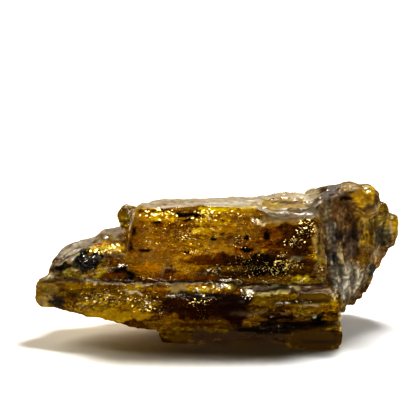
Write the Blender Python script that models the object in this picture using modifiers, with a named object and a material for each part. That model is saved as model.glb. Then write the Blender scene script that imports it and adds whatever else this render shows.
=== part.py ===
"""A raw piece of copal, lying as it rests on a table.

It is one natural solid: a clear, straight-sided block of resin with a flat top, standing on a
layered slab that runs out to a blunt nose on the left, with a low shoulder above the nose, a big
crusted lobe behind the right end, and small drops of resin that set on the corners.

Metres, +Z up, the broken front face towards -Y. Every chunk below is a list of its corners in
millimetres. The chunks are fused, scooped, sculpted, and cut flat where the piece stands.
"""
import bmesh
import bpy
from mathutils import Matrix, Vector, noise

MM = 0.001

# Driving dimensions, in millimetres
TOP_Z = 30.2            # the flat top of the block
LIP_Z = 27.2            # the lower top edge of the block's right half
LEDGE_Z = 13.6          # the seam where the block stands on the slab
NOSE_Z = 10.8           # the tip of the nose
CREST_Z = 33.4          # the top of the lobe, the highest point
WINDOW_Y = 0.0          # the broken front face of the block
SLAB_Y = -3.2           # the front of the slab, left of the middle
STEP_Y = -5.0           # the front of the slab at its right end
BACK_Y = 32.0           # the rearmost crust
NOSE_X = -40.0          # the left end
BLOCK_LEFT_X = -17.2
SPLIT_X = 8.0           # where the block's top edge steps down to the lip
BLOCK_RIGHT_X = 22.4
STEP_X = 26.6           # the broken right end of the slab
LOBE_X = 42.2           # the right end
FOOT_DEPTH = 1.2        # what the flat cut takes off the underside

VOXEL = 0.65            # the grain of the fused solid
KEPT_TRIANGLES = 9300
TABLE_DEPTH = 6.0       # the block that cuts the underside flat

# Relief of the surface: waves to a millimetre along X, Y and Z, and height in millimetres
LUMPS = (0.17, 0.17, 0.17), 0.7         # rounded lumps all over the crust
PITS = (0.42, 0.42, 0.42), 0.3          # small pits between them
FLUTES = (0.85, 0.85, 0.13), 0.8        # upright flutes on the lower face of the lobe
GRAIN = (0.07, 0.55, 0.3), 0.5          # the print of bark grain along the top
RIPPLES = (0.13, 0.2, 0.24), 0.3        # slow waves in the broken resin
LAYERS = (0.05, 0.2, 0.85), 0.7         # the slab's layers, seen edge on
CHIPS = (0.16, 0.3, 0.5), 0.5           # short steps where a layer chipped away
CHIPS_SEED = 3                          # the one shift that starts from a random state
WINDOW_LAYERS = 0.18                    # how little the layers show on the block
RESIN_COLOUR = (0.42, 0.23, 0.03, 1)
RESIN_ROUGHNESS = 0.28

CHUNKS = {
    "block_left": [
        (BLOCK_LEFT_X, 0.6, TOP_Z - 0.5), (-4, WINDOW_Y, TOP_Z - 0.2), (SPLIT_X + 0.4, WINDOW_Y, TOP_Z - 0.3),
        (-18.6, 0.6, 23.5), (-20.4, 0.8, 17.5), (-20.2, 0.2, 12.5), (SPLIT_X + 4, WINDOW_Y, 12.5),
        (SPLIT_X + 4, WINDOW_Y, 24.0), (-16.0, 7.0, TOP_Z - 0.2), (-11, 12.5, TOP_Z - 0.3),
        (0, 13.0, TOP_Z), (SPLIT_X + 4, 12.5, TOP_Z + 0.1), (-15.5, 20, 25.5),
        (SPLIT_X + 4, 23, 27), (-17, 23, 12), (SPLIT_X + 4, 26, 12),
    ],
    "block_right": [
        (SPLIT_X - 0.4, WINDOW_Y - 0.6, LIP_Z - 0.1), (15, WINDOW_Y - 0.8, LIP_Z + 0.2),
        (BLOCK_RIGHT_X - 0.8, WINDOW_Y - 0.2, LIP_Z + 0.5), (BLOCK_RIGHT_X, 0.2, 20),
        (BLOCK_RIGHT_X + 1.8, -0.6, 12.5), (SPLIT_X - 4, WINDOW_Y, 12.5), (SPLIT_X - 4, 13, TOP_Z),
        (12, 13.5, TOP_Z), (BLOCK_RIGHT_X + 0.6, 13, TOP_Z + 1.5), (BLOCK_RIGHT_X, 25, 27),
        (SPLIT_X - 4, 24, 26.5), (SPLIT_X - 4, 26, 12), (BLOCK_RIGHT_X + 2, 26, 12),
    ],
    "slab_left": [
        (NOSE_X, 4.5, NOSE_Z), (-39.2, 3.6, 12.4), (-37.2, 3.0, LEDGE_Z - 0.1), (-38.6, 4.2, 8.0),
        (-34.0, 3.0, 6.6), (-36.6, 8.5, 7.0), (-30, -0.4, LEDGE_Z), (-20, -2.0, LEDGE_Z),
        (-6, SLAB_Y + 0.6, LEDGE_Z), (-6, SLAB_Y, 11.6), (-22, -2.2, 11.5), (-30, 1.0, 6.4),
        (-24, 0.4, 5.5), (-18.5, 0.2, 4.7), (-14.6, 0.4, 3.0), (-6, -1.0, 2.0), (-36, 13, 12.8),
        (-28, 19, 13), (-6, 22, 13), (-31, 13, 8.0), (-18, 17, 5.0), (-6, 20, 3),
    ],
    "slab_right": [
        (-11, SLAB_Y + 1.4, LEDGE_Z), (2, SLAB_Y + 0.8, LEDGE_Z - 0.1), (15, SLAB_Y + 0.6, LEDGE_Z - 0.4),
        (STEP_X - 1.4, -2.6, LEDGE_Z - 0.6), (-11, SLAB_Y - 0.4, 10.6), (5, SLAB_Y - 0.8, 10.8),
        (STEP_X - 0.9, STEP_Y + 1.0, 11.2), (-13, -1.0, 5.0), (5, SLAB_Y - 0.6, 6.0),
        (STEP_X - 0.3, STEP_Y + 0.6, 6.2), (-11, 24, 13), (STEP_X - 0.2, 20, 13), (-11, 22, 4),
        (STEP_X, 16, 4.5),
    ],
    "shelf": [
        (6.2, SLAB_Y - 0.9, 12.0), (9.0, -5.0, 12.6), (14.8, -5.1, 12.5), (17.0, -4.0, 12.3),
        (8.2, -4.9, 9.4), (15.8, -5.2, 8.6), (7.0, -1, 13.0), (17, -1, 13.0), (7, 0, 8), (17, 0, 8),
    ],
    "right_step": [
        (17.4, STEP_Y + 0.2, 11.7), (24.8, STEP_Y + 0.3, 12.5), (STEP_X - 0.2, STEP_Y + 0.6, 11.6),
        (STEP_X, STEP_Y - 0.3, 8.8), (18.0, STEP_Y - 0.5, 8.6), (17.0, 0, 12.2), (26, 0, 12.6),
        (17, 0, 8.2), (STEP_X, 0, 8.2),
    ],
    "foot_layer": [
        (-12.8, 2.0, 2.6), (-11.4, 1.4, -FOOT_DEPTH), (-7.0, -0.4, -FOOT_DEPTH), (6, -2.6, -FOOT_DEPTH),
        (16, -3.8, -FOOT_DEPTH), (STEP_X - 1.6, STEP_Y + 0.2, -FOOT_DEPTH), (STEP_X + 0.2, STEP_Y + 0.4, 1.2),
        (STEP_X - 0.1, STEP_Y + 0.3, 4.8), (6, -3.6, 5), (-12.2, -0.8, 5), (STEP_X - 0.6, 14, -FOOT_DEPTH),
        (STEP_X, 14, 5), (18, 26, -FOOT_DEPTH), (-4, 25, -FOOT_DEPTH), (-10, 18, -FOOT_DEPTH),
        (-12, 20, 6), (20, 27, 6),
    ],
    "shoulder": [
        (-37.8, 5.6, 13), (-36.8, 7.4, 15.4), (-34.8, 10.5, 19.0), (-31.0, 12.5, 20.6),
        (-26.8, 12.5, 21.3), (-22.2, 12.5, 23.6), (-16, 12.5, 26), (-35.8, 4.4, 15.2),
        (-28.2, 4.6, 19.8), (-25.8, 7.2, 22.0), (-18.5, 4.6, 22.8), (-36, 3.0, 13), (-30, 1.6, 13.2),
        (-20, 0.9, 13.2), (-18, 0.9, 17), (-32, 19, 17), (-20, 22, 21), (-34, 17, 12.5), (-16, 23, 12.5),
    ],
    "lobe": [
        (21.4, 4.8, 29.6), (22.6, 4.6, 16), (26.4, 7.4, 5.4), (24.9, 12, 32.8), (28.8, 14, CREST_Z),
        (34.6, 15.5, 32.4), (36.8, 17.0, 30.0), (37.6, 17.8, 27.6), (28.6, 8.8, 22), (31.8, 9.8, 15),
        (28.0, 7.8, 12), (LOBE_X - 1.2, 21.5, 24.8), (LOBE_X, 23.5, 20.0), (LOBE_X - 0.4, 24.5, 17.2),
        (39.6, 24.0, 13.8), (37.2, 22.5, 10.0), (35.4, 20.5, 7.0), (32.6, 18.0, 5.0), (29.0, 14.0, 3.8),
        (25, 13, 3.2), (22, 28, 29.5), (33, BACK_Y - 2, 27), (39, 29, 20), (22, BACK_Y - 3, 6),
        (33, BACK_Y - 2, 10), (37, 28, 12),
    ],
    "back": [
        (-24, 18, 20), (-12, 21, 27), (4, 26, 28.5), (20, 28, 29.5), (28, BACK_Y - 0.4, 22), (8, 31, 20),
        (-10, 29, 17), (-24, 24, 14), (-18, 23, 5), (-6, 28, 3), (12, 30, 3.4), (26, 29, 5),
        (0, 15, 15), (15, 15, 15),
    ],
}

# Drops of resin that set on the corners: centre and radii, in millimetres
DROPS = {
    "corner_drop": ((-19.3, 5.2, 27.0), (2.3, 2.6, 2.6)),
    "corner_bead": ((-19.2, 3.2, 25.2), (1.7, 1.6, 1.8)),
    "crown_drop": ((34.0, 14.8, 29.1), (3.5, 4.4, 4.1)),
    "crown_cap": ((30.6, 14.2, 31.2), (3.8, 4.0, 2.3)),
    "cheek_drop": ((37.9, 18.8, 26.2), (2.4, 3.0, 2.4)),
    "ear_drop": ((40.8, 22.6, 21.2), (2.5, 3.6, 4.2)),
    "nose_drop": ((-37.4, 5.2, 10.3), (2.9, 3.2, 3.5)),
    "belly_drop": ((-25.0, -0.4, 8.6), (7.0, 2.2, 2.4)),
    "amber_drop": ((-14.2, -1.6, 8.2), (5.2, 2.4, 3.0)),
}

# Hollows that broke or weathered out: centre and radii, in millimetres
SCOOPS = {
    "cove": ((6.0, -4.6, 16.4), (21.0, 6.0, 2.8)),
    "cove_left": ((-19.0, -3.4, 16.2), (9.0, 5.0, 1.9)),
    "crack": ((-20.2, -0.6, 22.2), (1.2, 2.6, 6.4)),
    "undercut": ((13.4, -6.2, 6.7), (5.6, 3.4, 1.5)),
    "socket": ((21.2, -6.6, 6.6), (1.9, 2.4, 1.1)),
    "foot_line": ((4.0, -6.0, 4.4), (17.0, 3.4, 0.9)),
    "seam_right": ((25.0, 2.0, 18.4), (1.5, 3.6, 11.4)),
    "arch": ((7.4, -4.0, -10.6), (19.5, 17.0, 12.7)),
    "top_dish": ((-2.0, 9.0, 41.0), (22.0, 14.0, 10.4)),
    "back_bite": ((-6.0, 36.0, 22.0), (13.0, 10.0, 9.0)),
    "back_notch": ((17.0, 37.0, 8.0), (9.0, 9.0, 7.0)),
    "back_step": ((-26.0, 28.0, 10.0), (11.0, 10.0, 6.0)),
}


def clear_scene():
    for obj in list(bpy.data.objects):
        bpy.data.objects.remove(obj, do_unlink=True)


def collection(name):
    made = bpy.data.collections.new(name)
    bpy.context.scene.collection.children.link(made)
    return made


def add_chunk(bm, corners):
    """A broken lump: the flat-faced hull of its corners."""
    corner_verts = [bm.verts.new(Vector(c) * MM) for c in corners]
    hull = bmesh.ops.convex_hull(bm, input=corner_verts)
    inside = {v for v in hull["geom_interior"] if isinstance(v, bmesh.types.BMVert)}
    bmesh.ops.delete(bm, geom=list(inside), context="VERTS")


def add_drop(bm, centre, radii):
    place = Matrix.Translation(Vector(centre) * MM) @ Matrix.Diagonal((*(r * MM for r in radii), 1))
    bmesh.ops.create_icosphere(bm, subdivisions=3, radius=1, matrix=place)


def new_object(name, bm, into):
    mesh = bpy.data.meshes.new(name)
    bm.to_mesh(mesh)
    bm.free()
    obj = bpy.data.objects.new(name, mesh)
    into.objects.link(obj)
    return obj


def new_cutter(name, bm, into):
    cutter = new_object(name, bm, into)
    cutter.hide_render = True
    cutter.display_type = "WIRE"
    return cutter


def apply_modifiers(obj):
    graph = bpy.context.evaluated_depsgraph_get()
    mesh = bpy.data.meshes.new_from_object(obj.evaluated_get(graph))
    obj.modifiers.clear()
    obj.data = mesh


def add_remesh(obj):
    remesh = obj.modifiers.new("fuse", "REMESH")
    remesh.mode = "VOXEL"
    remesh.voxel_size = VOXEL * MM


def fused_body(parts, cutters):
    """The chunks and drops as one closed skin, with the hollows taken out."""
    bm = bmesh.new()
    for corners in CHUNKS.values():
        add_chunk(bm, corners)
    for centre, radii in DROPS.values():
        add_drop(bm, centre, radii)
    body = new_object("copal_piece", bm, parts)
    add_remesh(body)
    for name, (centre, radii) in SCOOPS.items():
        bm = bmesh.new()
        add_drop(bm, centre, radii)
        new_cutter(name, bm, cutters)
    cut = body.modifiers.new("scoop", "BOOLEAN")
    cut.operation = "DIFFERENCE"
    cut.operand_type = "COLLECTION"
    cut.collection = cutters
    add_remesh(body)
    apply_modifiers(body)
    return body


def ramp(low, high, value):
    """0 below low, 1 above high, smooth between; it falls where low is above high."""
    t = min(max((value - low) / (high - low), 0.0), 1.0)
    return t * t * (3 - 2 * t)


def broken_share(point, normal):
    """How much of the surface here is broken resin, from 0 on crust to 1 on the front faces."""
    faces_front = ramp(0.3, 0.75, -normal.y)
    on_lobe = ramp(21.0, 23.0, point.x) * ramp(3.2, 4.6, point.y)
    return faces_front * (1 - on_lobe)


def stretched(point, waves):
    return Vector((point.x * waves[0], point.y * waves[1], point.z * waves[2]))


def wave(relief_kind, point, offset=0.0):
    """The height of one kind of relief here, up and down about zero."""
    waves, height = relief_kind
    return height * noise.noise(stretched(point, waves) + Vector((offset, 0, 0)))


def crust_relief(point, normal):
    waves, height = LUMPS
    stands_out = height * noise.fractal(stretched(point, waves), 0.9, 2.1, 4)
    waves, depth = PITS
    stands_out -= depth * (noise.ridged_multi_fractal(stretched(point, waves), 0.8, 2.2, 3, 0.9, 1.6) - 1.2)
    on_lobe_foot = ramp(22, 27, point.x) * ramp(24, 14, point.z)
    stands_out += wave(FLUTES, point) * on_lobe_foot
    return stands_out + wave(GRAIN, point) * ramp(0.5, 0.85, normal.z)


def resin_relief(point):
    waves, height = CHIPS
    chipped = noise.cell(stretched(point, waves) + 0.6 * noise.noise_vector(point * 0.2)) - 0.5
    on_slab = ramp(LEDGE_Z + 2.5, LEDGE_Z - 1.5, point.z)
    layered = wave(LAYERS, point, offset=3.1) * (WINDOW_LAYERS + (1 - WINDOW_LAYERS) * on_slab)
    return wave(RIPPLES, point) + layered + height * chipped * on_slab


def relief(point, normal):
    """How far the surface stands out here, in millimetres."""
    broken = broken_share(point, normal)
    return crust_relief(point, normal) * (1 - broken) + resin_relief(point) * broken


def sculpt(obj):
    bm = bmesh.new()
    bm.from_mesh(obj.data)
    bmesh.ops.smooth_vert(bm, verts=bm.verts, factor=0.5, use_axis_x=True, use_axis_y=True, use_axis_z=True)
    bm.normal_update()
    moves = [(v, v.normal * relief(v.co / MM, v.normal) * MM) for v in bm.verts]
    for vert, move in moves:
        vert.co += move
    bm.to_mesh(obj.data)
    bm.free()


def cut_flat(obj, cutters):
    """Takes off all below the table, so that the piece stands on its feet."""
    bm = bmesh.new()
    place = Matrix.Translation(Vector((0, BACK_Y / 2, -TABLE_DEPTH / 2)) * MM)
    size = Vector((3 * LOBE_X, 3 * BACK_Y, TABLE_DEPTH)) * MM
    bmesh.ops.create_cube(bm, size=1, matrix=place @ Matrix.Diagonal((*size, 1)))
    table = new_cutter("table", bm, cutters)
    cut = obj.modifiers.new("stand", "BOOLEAN")
    cut.operation = "DIFFERENCE"
    cut.object = table


def thin_out(obj):
    triangles = sum(len(p.vertices) - 2 for p in obj.data.polygons)
    decimate = obj.modifiers.new("thin", "DECIMATE")
    decimate.ratio = KEPT_TRIANGLES / triangles
    decimate.use_collapse_triangulate = True


def centre_on_base(obj):
    """Puts the origin under the middle of the piece, where it meets the table."""
    corners = [Vector(corner) for corner in obj.bound_box]
    middle = (corners[0] + corners[6]) / 2
    obj.data.transform(Matrix.Translation((-middle.x, -middle.y, 0)))


def resin_material():
    material = bpy.data.materials.new("copal")
    material.use_nodes = True
    shader = material.node_tree.nodes["Principled BSDF"]
    shader.inputs["Base Color"].default_value = RESIN_COLOUR
    shader.inputs["Roughness"].default_value = RESIN_ROUGHNESS
    shader.inputs["Metallic"].default_value = 0
    return material


def main():
    clear_scene()
    noise.seed_set(CHIPS_SEED)
    parts = collection("raw_copal")
    cutters = collection("cutters")
    body = fused_body(parts, cutters)
    sculpt(body)
    thin_out(body)
    cut_flat(body, cutters)
    apply_modifiers(body)
    centre_on_base(body)
    body.data.materials.append(resin_material())
    body.data.shade_smooth()


main()
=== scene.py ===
"""The looks of a raw piece of copal, lying on a pale table under softboxes.

The piece is one closed body of resin. Its fine body stands in for the CAD node: the same chunks,
drops and hollows and one bevel more, fused at a finer grain, with finer relief than the CAD solid.
Light goes into the resin and is absorbed along its way. The broken faces are clear, and the crust
is a thin skin that lets some light through. Flecks of bark and bright little cracks lie inside,
and small chips glint on the hackly places. The piece is made in millimetres, in the frame that its
corner lists were carved in, and moved to the CAD's frame at the end.
"""
import math
import random
from types import SimpleNamespace

import bmesh
import bpy
import numpy as np
from mathutils import Matrix, Vector, noise
from mathutils.bvhtree import BVHTree


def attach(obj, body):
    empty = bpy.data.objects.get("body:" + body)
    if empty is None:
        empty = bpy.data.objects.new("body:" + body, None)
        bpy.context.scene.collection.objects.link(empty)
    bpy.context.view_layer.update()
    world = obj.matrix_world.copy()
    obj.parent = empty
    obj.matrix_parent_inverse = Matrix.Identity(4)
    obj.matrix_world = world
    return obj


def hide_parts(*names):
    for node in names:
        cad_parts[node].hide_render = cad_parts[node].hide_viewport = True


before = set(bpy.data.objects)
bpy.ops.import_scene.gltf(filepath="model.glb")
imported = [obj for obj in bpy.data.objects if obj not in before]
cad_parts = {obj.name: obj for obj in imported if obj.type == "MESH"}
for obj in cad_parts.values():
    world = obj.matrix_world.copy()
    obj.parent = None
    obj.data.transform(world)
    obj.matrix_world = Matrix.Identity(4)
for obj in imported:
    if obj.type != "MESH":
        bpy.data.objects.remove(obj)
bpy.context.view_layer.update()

MM = 0.001
X, Y, Z = 0, 1, 2

# The same driving dimensions as the CAD piece, in millimetres
TOP_Z = 30.2
LIP_Z = 27.2
LEDGE_Z = 13.6
NOSE_Z = 10.8
CREST_Z = 33.4
WINDOW_Y = 0.0
SLAB_Y = -3.2
STEP_Y = -5.0
BACK_Y = 32.0
NOSE_X = -40.0
BLOCK_LEFT_X = -17.2
SPLIT_X = 8.0
BLOCK_RIGHT_X = 22.4
STEP_X = 26.6
LOBE_X = 42.2
FOOT_DEPTH = 1.2
CARVED_MIDDLE = Vector((1.577, 13.061, 0))      # the middle of the piece's box, as it was carved

FINE_VOXEL = 0.36

# The front view: a lens that looks down a little at the broken face
LENS = 85
SENSOR = 36
FRAME_PIXELS = 416
PITCH = math.radians(8.6)
CAMERA_AIM = Vector((-1.82, 0, 29.84))
CAMERA_DISTANCE = 210.0
PIXEL = SENSOR / LENS / FRAME_PIXELS            # one pixel, as a slope
PIXEL_MM = CAMERA_DISTANCE * PIXEL              # and on the broken face, in millimetres
CAMERA_AT = CAMERA_AIM + Vector((0, -math.cos(PITCH), math.sin(PITCH))) * CAMERA_DISTANCE

GREY = 0.18                                     # the view's contrast turns about this grey
CONTRAST = 1.3

# The lights: where each stands, how big it is in metres, and its power in watts. A light with
# shines=False isn't mirrored, and one with lights=False is only mirrored.
SOFTBOXES = {
    "key_light": dict(at=(0.075, 0.17, 0.36), size=(0.15, 0.08), power=1.75),
    "left_softbox": dict(at=(-0.31, 0.23, 0.23), size=(0.28, 0.28), power=1.65, shines=False,
                         colour=(1.0, 0.9, 0.74)),
    "right_softbox": dict(at=(0.32, 0.17, 0.16), size=(0.20, 0.20), power=0.75, shines=False),
    "front_softbox": dict(at=(-0.06, -0.42, 0.008), size=(0.40, 0.014), power=1.0, shines=False,
                          colour=(1.0, 0.86, 0.62)),
    "overhead_softbox": dict(at=(0.0, -0.03, 0.38), size=(0.18, 0.10), power=1.3, lights=False,
                             colour=(1.0, 0.92, 0.78)),
}

# Small bright spots that only the facets mirror: where they are, and their power
GLINTS = (((-0.25, -0.28, 0.24), 0.34), ((0.28, -0.25, 0.20), 0.34), ((0.05, -0.36, 0.24), 0.08))
GLINT_LOOK = dict(size=(0.03, 0.03), lights=False, colour=(1.0, 0.9, 0.66))
LIGHTS_AIM = Vector((0, 0, 0.01))

# The chunks, each a list of its corners. The bevel is only here.
CHUNKS = {
    "block_left": [
        (BLOCK_LEFT_X, 0.6, TOP_Z - 0.5), (-4, WINDOW_Y, TOP_Z - 0.2), (SPLIT_X + 0.4, WINDOW_Y, TOP_Z - 0.3),
        (-18.6, 0.6, 23.5), (-20.4, 0.8, 17.5), (-20.2, 0.2, 12.5), (SPLIT_X + 4, WINDOW_Y, 12.5),
        (SPLIT_X + 4, WINDOW_Y, 24.0), (-16.0, 7.0, TOP_Z - 0.2), (-11, 12.5, TOP_Z - 0.3),
        (0, 13.0, TOP_Z), (SPLIT_X + 4, 12.5, TOP_Z + 0.1), (-15.5, 20, 25.5),
        (SPLIT_X + 4, 23, 27), (-17, 23, 12), (SPLIT_X + 4, 26, 12),
    ],
    "block_right": [
        (SPLIT_X - 0.4, WINDOW_Y - 0.6, LIP_Z - 0.1), (15, WINDOW_Y - 0.8, LIP_Z + 0.2),
        (BLOCK_RIGHT_X - 0.8, WINDOW_Y - 0.2, LIP_Z + 0.5), (BLOCK_RIGHT_X, 0.2, 20),
        (BLOCK_RIGHT_X + 1.8, -0.6, 12.5), (SPLIT_X - 4, WINDOW_Y, 12.5), (SPLIT_X - 4, 13, TOP_Z),
        (12, 13.5, TOP_Z), (BLOCK_RIGHT_X + 0.6, 13, TOP_Z + 1.5), (BLOCK_RIGHT_X, 25, 27),
        (SPLIT_X - 4, 24, 26.5), (SPLIT_X - 4, 26, 12), (BLOCK_RIGHT_X + 2, 26, 12),
    ],
    "slab_left": [
        (NOSE_X, 4.5, NOSE_Z), (-39.2, 3.6, 12.4), (-37.2, 3.0, LEDGE_Z - 0.1), (-38.6, 4.2, 8.0),
        (-34.0, 3.0, 6.6), (-36.6, 8.5, 7.0), (-30, -0.4, LEDGE_Z), (-20, -2.0, LEDGE_Z),
        (-6, SLAB_Y + 0.6, LEDGE_Z), (-6, SLAB_Y, 11.6), (-22, -2.2, 11.5), (-30, 1.0, 6.4),
        (-24, 0.4, 5.5), (-18.5, 0.2, 4.7), (-14.6, 0.4, 3.0), (-6, -1.0, 2.0), (-36, 13, 12.8),
        (-28, 19, 13), (-6, 22, 13), (-31, 13, 8.0), (-18, 17, 5.0), (-6, 20, 3),
    ],
    "slab_right": [
        (-11, SLAB_Y + 1.4, LEDGE_Z), (2, SLAB_Y + 0.8, LEDGE_Z - 0.1), (15, SLAB_Y + 0.6, LEDGE_Z - 0.4),
        (STEP_X - 1.4, -2.6, LEDGE_Z - 0.6), (-11, SLAB_Y - 0.4, 10.6), (5, SLAB_Y - 0.8, 10.8),
        (STEP_X - 0.9, STEP_Y + 1.0, 11.2), (-13, -1.0, 5.0), (5, SLAB_Y - 0.6, 6.0),
        (STEP_X - 0.3, STEP_Y + 0.6, 6.2), (-11, 24, 13), (STEP_X - 0.2, 20, 13), (-11, 22, 4),
        (STEP_X, 16, 4.5),
    ],
    "shelf": [
        (6.2, SLAB_Y - 0.9, 12.0), (9.0, -5.0, 12.6), (14.8, -5.1, 12.5), (17.0, -4.0, 12.3),
        (8.2, -4.9, 9.4), (15.8, -5.2, 8.6), (7.0, -1, 13.0), (17, -1, 13.0), (7, 0, 8), (17, 0, 8),
    ],
    "right_step": [
        (17.4, STEP_Y + 0.2, 11.7), (24.8, STEP_Y + 0.3, 12.5), (STEP_X - 0.2, STEP_Y + 0.6, 11.6),
        (STEP_X, STEP_Y - 0.3, 8.8), (18.0, STEP_Y - 0.5, 8.6), (17.0, 0, 12.2), (26, 0, 12.6),
        (17, 0, 8.2), (STEP_X, 0, 8.2),
    ],
    "foot_layer": [
        (-12.8, 2.0, 2.6), (-11.4, 1.4, -FOOT_DEPTH), (-7.0, -0.4, -FOOT_DEPTH), (6, -2.6, -FOOT_DEPTH),
        (16, -3.8, -FOOT_DEPTH), (STEP_X - 1.6, STEP_Y + 0.2, -FOOT_DEPTH), (STEP_X + 0.2, STEP_Y + 0.4, 1.2),
        (STEP_X - 0.1, STEP_Y + 0.3, 4.8), (6, -3.6, 5), (-12.2, -0.8, 5), (STEP_X - 0.6, 14, -FOOT_DEPTH),
        (STEP_X, 14, 5), (18, 26, -FOOT_DEPTH), (-4, 25, -FOOT_DEPTH), (-10, 18, -FOOT_DEPTH),
        (-12, 20, 6), (20, 27, 6),
    ],
    "shoulder": [
        (-37.8, 5.6, 13), (-36.8, 7.4, 15.4), (-34.8, 10.5, 19.0), (-31.0, 12.5, 20.6),
        (-26.8, 12.5, 21.3), (-22.2, 12.5, 23.6), (-16, 12.5, 26), (-35.8, 4.4, 15.2),
        (-28.2, 4.6, 19.8), (-25.8, 7.2, 22.0), (-18.5, 4.6, 22.8), (-36, 3.0, 13), (-30, 1.6, 13.2),
        (-20, 0.9, 13.2), (-18, 0.9, 17), (-32, 19, 17), (-20, 22, 21), (-34, 17, 12.5), (-16, 23, 12.5),
    ],
    "lobe": [
        (21.4, 4.8, 29.6), (22.6, 4.6, 16), (26.4, 7.4, 5.4), (24.9, 12, 32.8), (28.8, 14, CREST_Z),
        (34.6, 15.5, 32.4), (36.8, 17.0, 30.0), (37.6, 17.8, 27.6), (28.6, 8.8, 22), (31.8, 9.8, 15),
        (28.0, 7.8, 12), (LOBE_X - 1.2, 21.5, 24.8), (LOBE_X, 23.5, 20.0), (LOBE_X - 0.4, 24.5, 17.2),
        (39.6, 24.0, 13.8), (37.2, 22.5, 10.0), (35.4, 20.5, 7.0), (32.6, 18.0, 5.0), (29.0, 14.0, 3.8),
        (25, 13, 3.2), (22, 28, 29.5), (33, BACK_Y - 2, 27), (39, 29, 20), (22, BACK_Y - 3, 6),
        (33, BACK_Y - 2, 10), (37, 28, 12),
    ],
    "back": [
        (-24, 18, 20), (-12, 21, 27), (4, 26, 28.5), (20, 28, 29.5), (28, BACK_Y - 0.4, 22), (8, 31, 20),
        (-10, 29, 17), (-24, 24, 14), (-18, 23, 5), (-6, 28, 3), (12, 30, 3.4), (26, 29, 5),
        (0, 15, 15), (15, 15, 15),
    ],
    "bevel": [
        (5.0, 0.1, 29.6), (SPLIT_X + 0.4, WINDOW_Y, 29.5), (9.0, -0.4, 27.2), (15.5, -0.4, 27.25),
        (15.5, 3, 28.15), (14, 9, 29.6), (8, 9, 30.05), (5, 9, 30.0),
    ],
}

# Resin that set in drops, and hollows where pieces broke out: middle and half size
DROPS = {
    "corner_drop": ((-19.3, 5.2, 27.0), (2.3, 2.6, 2.6)),
    "corner_bead": ((-19.2, 3.2, 25.2), (1.7, 1.6, 1.8)),
    "crown_drop": ((34.0, 14.8, 29.1), (3.5, 4.4, 4.1)),
    "crown_cap": ((30.6, 14.2, 31.2), (3.8, 4.0, 2.3)),
    "cheek_drop": ((37.9, 18.8, 26.2), (2.4, 3.0, 2.4)),
    "ear_drop": ((40.8, 22.6, 21.2), (2.5, 3.6, 4.2)),
    "nose_drop": ((-37.4, 5.2, 10.3), (2.9, 3.2, 3.5)),
    "belly_drop": ((-25.0, -0.4, 8.6), (7.0, 2.2, 2.4)),
    "amber_drop": ((-14.2, -1.6, 8.2), (5.2, 2.4, 3.0)),
}

SCOOPS = {
    "cove": ((6.0, -4.6, 16.4), (21.0, 6.0, 2.8)),
    "cove_left": ((-19.0, -3.4, 16.2), (9.0, 5.0, 1.9)),
    "crack": ((-20.2, -0.6, 22.2), (1.2, 2.6, 6.4)),
    "undercut": ((13.4, -6.2, 6.7), (5.6, 3.4, 1.5)),
    "socket": ((21.2, -6.6, 6.6), (1.9, 2.4, 1.1)),
    "foot_line": ((4.0, -6.0, 4.4), (17.0, 3.4, 0.9)),
    "seam_right": ((25.0, 2.0, 18.4), (1.5, 3.6, 11.4)),
    "arch": ((7.4, -4.0, -10.6), (19.5, 17.0, 12.7)),
    "top_dish": ((-2.0, 9.0, 41.0), (22.0, 14.0, 10.4)),
    "back_bite": ((-6.0, 36.0, 22.0), (13.0, 10.0, 9.0)),
    "back_notch": ((17.0, 37.0, 8.0), (9.0, 9.0, 7.0)),
    "back_step": ((-26.0, 28.0, 10.0), (11.0, 10.0, 6.0)),
}

# Relief that the CAD solid has too: waves to a millimetre along X, Y and Z, and height. The chips
# start from the same random state as there.
LUMPS = (0.17, 0.17, 0.17), 0.7
PITS = (0.42, 0.42, 0.42), 0.3
FLUTES = (0.85, 0.85, 0.13), 0.8
GRAIN = (0.07, 0.55, 0.3), 0.5
RIPPLES = (0.13, 0.2, 0.24), 0.3
LAYERS = (0.05, 0.2, 0.85), 0.7
CHIPS = (0.16, 0.3, 0.5), 0.5
CHIPS_SEED = 3
WINDOW_LAYERS = 0.18

# Finer relief, only here
SCALES = (1.5, 1.5, 1.5), 0.10
HACKLE = (1.1, 1.1, 1.3), 0.42
SMOOTHED = 2                            # rounds of smoothing for the whole body
NOSE_SMOOTHED = 16                      # and for the nose's tip, left of this X
NOSE_TIP_X = -33.5

# The shift that makes the edges of stains and lines uneven: its random state, waves to a
# millimetre, and the finer waves and their share in colour alone
WOBBLE_SEED = 4
WOBBLE_WAVES = 0.45
FINE_WOBBLE_WAVES, FINE_WOBBLE = 1.6, 0.6
LUMINANCE = (0.3, 0.6, 0.1)             # how bright red, green and blue look

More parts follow.
